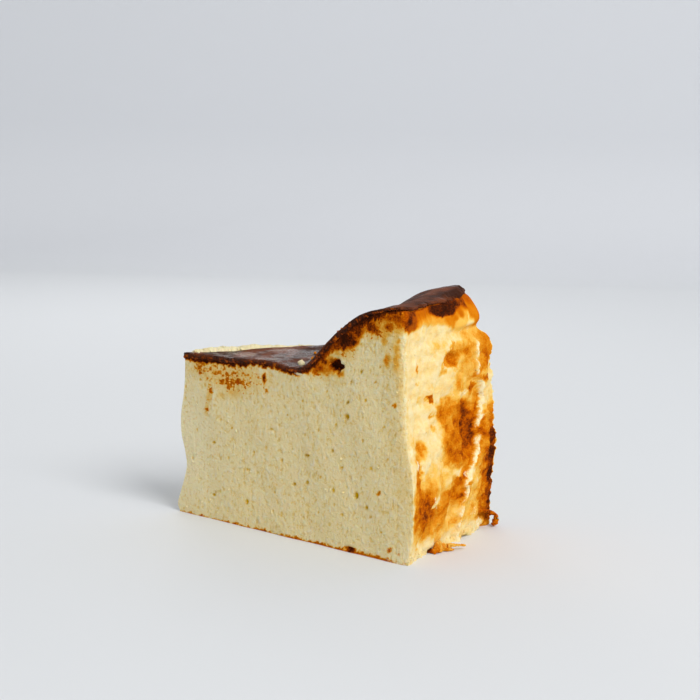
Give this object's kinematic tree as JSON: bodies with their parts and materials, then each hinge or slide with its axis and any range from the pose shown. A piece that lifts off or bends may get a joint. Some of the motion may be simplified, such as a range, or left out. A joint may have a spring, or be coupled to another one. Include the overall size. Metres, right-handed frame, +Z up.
{
  "type": "basque cheesecake slice",
  "caption": "Wedge of tall burnt-top baked cheesecake with a sunken middle, a high rim and a browned, torn outer side.",
  "frame": {"origin": "middle of the slice's box, on the flat base it rests on", "axes": "+Z up, +X along the slice's middle line from the tip towards the cake's outer side, +Y towards the longer cut"},
  "size_m": [0.092, 0.0512, 0.0723],
  "materials": {
    "baked_cream": "soft, slightly moist baked cream cheese, browned skin on the outer side",
    "burnt_crust": "thin dark-brown burnt skin with a satin gloss"
  },
  "bodies": {
    "root": {"cheesecake_slice": "baked_cream"}
  },
  "joints": []
}
